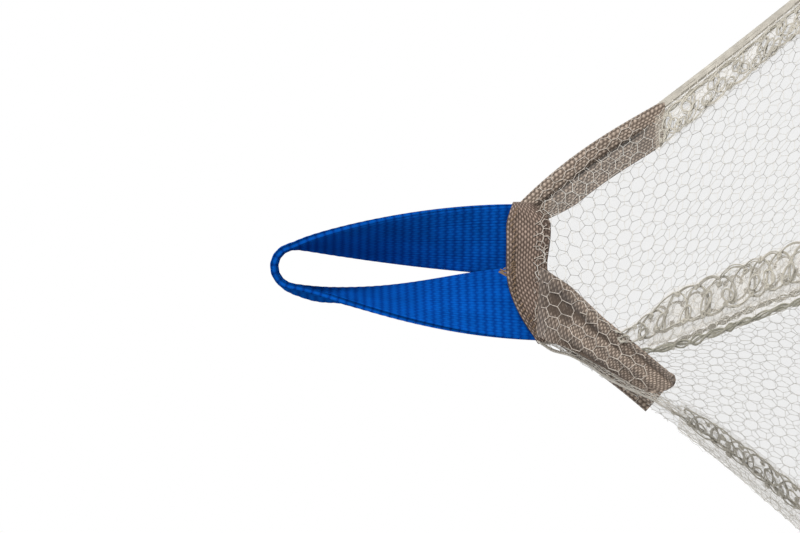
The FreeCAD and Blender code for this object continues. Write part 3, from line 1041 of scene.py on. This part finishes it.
# -------- apex stitching
def tack_stitches(rng, material):
    """Brown thread along the wrap's upper edge, with the small spike between the arms."""
    lines = []
    front_y = WRAP_LOW[1] + 0.1
    for k in range(24):
        x = 10.2 - 0.92 * k
        depth = wrap_top(np.array([x]))[0] + 0.9 + 0.15 * rng.normal()
        for side in (-1, 1):
            share = np.linspace(0, 1, 7)
            y = side * (-front_y + 0.30 + 0.22 * np.sin(math.pi * share))
            path = np.stack([x + 0.55 * share, y, -depth - 0.5 * share + 0.25 * rng.normal()], -1)
            lines.append((path, (0.0, side, 0.0)))
    for k in range(9):
        share = np.linspace(0, 1, 8)
        tip = np.array([-0.2 + 0.25 * rng.normal(), front_y + 0.7, -FLEX_END_DEPTH + 2.0 - 0.12 * k])
        foot = np.array([-1.9 + 0.42 * k, front_y - 0.1, -FLEX_END_DEPTH - 0.9])
        lines.append((foot + (tip - foot) * share[:, None], (0.0, -1.0, 0.0)))
    return threads("tack_stitches", lines, TACK_YARN, material)


# -------- hem
def hem_line(panel, depth, rows, trim=0.0):
    """Points along one side of the mouth, just outside the panel and trim short of the
    corner at each end, and the outward direction."""
    a, b = seam_point(panel[0], PANEL_BOTTOM), seam_point(panel[1], PANEL_BOTTOM)
    along = unit(b - a)
    out = outward(a, b)
    start = a - along * (HEM_OUTSIDE - trim) + out * HEM_OUTSIDE
    end = b + along * (HEM_OUTSIDE - trim) + out * HEM_OUTSIDE
    line = start + (end - start) * np.linspace(0, 1, rows)[:, None]
    line[:, 2] = -depth
    return line, out


def hem_tape(panel, material):
    """Tape folded upwards over one side of the mouth."""
    name = "_".join(panel)
    line, _ = hem_line(panel, HEM_DEPTH - 0.1, 420)
    line[:, 2] += 0.25 * np.sin(np.linspace(0, 22, 420)) + 0.15 * np.sin(np.linspace(1, 61, 420))
    return folded_tape("hem_binding_" + name, line, WORLD_UP, HEM_HEIGHT, HEM_GAP, material)


def hem_stitch(panel, material):
    """A row of lockstitches along the hem tape, on both faces."""
    name = "_".join(panel)
    low, high = box_mm("hem_stitch_" + name)
    depth = -(low[2] + high[2]) / 2
    pitch, length = 3.1, 2.3
    line, out = hem_line(panel, depth, 2, trim=1.0)
    run = np.linalg.norm(line[1] - line[0])
    along = (line[1] - line[0]) / run
    lines = []
    share = np.linspace(0, 1, 9)
    for face in (1, -1):
        for k in range(int(run / pitch)):
            base = line[0] + along * (0.4 + k * pitch)
            rise = 0.86 + 0.14 * np.sin(math.pi * share) ** 0.5
            lines.append((base + along * (length * share)[:, None] + out * (face * rise)[:, None], out))
    return threads("hem_lockstitch_" + name, lines, LOCKSTITCH_YARN, material)


def place_piece(piece, body, slot, *nodes):
    """Says which body a piece rides on and hides the CAD pieces that it stands for. slot is not used."""
    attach(piece, body)
    if nodes:
        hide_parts(*nodes)


def net_piece(piece, slot, *nodes):
    """A soft piece of the net's skirt, carried by the net's body with a mesh of its own."""
    place_piece(piece, "net", slot, *nodes)
    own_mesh(piece)


def build():
    make_camera()
    make_lights()
    looks = make_materials()
    make_floor()
    rng = np.random.default_rng(7)

    loop = webbing_loop(looks["webbing"])
    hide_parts("hanging_loop", "loop_ends")
    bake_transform(loop)

    wrap = apex_wrap(looks["wrap"])
    place_piece(wrap, "net", "binding_tape", "apex_wrap")
    tacks = tack_stitches(rng, looks["tack"])
    place_piece(tacks, "net", "bar_tack_thread", "loop_stitching")

    tapes = [wrap]
    for seam in SEAMS:
        cap = (side_cap if seam in ("right", "left") else face_cap)(seam, looks["tape"])
        net_piece(cap, "binding_tape", "seam_cap_" + seam)
        tapes.append(cap)

    with_panel = {panel: [] for panel in PANELS}
    for side, left, right in ((-1, PANELS[1], PANELS[0]), (1, PANELS[2], PANELS[3])):
        covers = [cover_net(kind, tapes, side, rng, looks["over"]) for kind in COVERS]
        covers.append(gathered_net(rng, side, looks["fold"]))
        for cover in covers:
            net_piece(cover, "netting")
        with_panel[left] += [covers[0], covers[3]]
        with_panel[right] += covers[1:3]
    home = {"right": PANELS[0], "front": PANELS[0], "left": PANELS[1], "back": PANELS[3]}
    for seam in SEAMS:
        edge = allowance(seam, rng, looks)
        net_piece(edge, "netting", "seam_allowance_" + seam)
        loops = overlock(seam, rng, looks["seam"])
        net_piece(loops, "seam_thread", "overlock_stitch_" + seam)
        rope = chain(seam, rng, looks["seam" if seam == "left" else "chain"])
        net_piece(rope, "seam_thread", "chain_stitch_" + seam)
        with_panel[home[seam]] += [edge, loops, rope]

    for panel in PANELS:
        name = "_".join(panel)
        net = mesh_object("net_threads_" + name, *panel_threads(panel, rng), looks["net"])
        net_piece(net, "netting", "net_panel_" + name)
        cloth, flat, area = panel_haze(panel, looks["haze"])
        net_piece(cloth, "netting")
        tape = hem_tape(panel, looks["tape"])
        place_piece(tape, "hem", "binding_tape", "hem_tape_" + name)
        stitches = hem_stitch(panel, looks["seam"])
        place_piece(stitches, "hem", "seam_thread", "hem_stitch_" + name)


build()
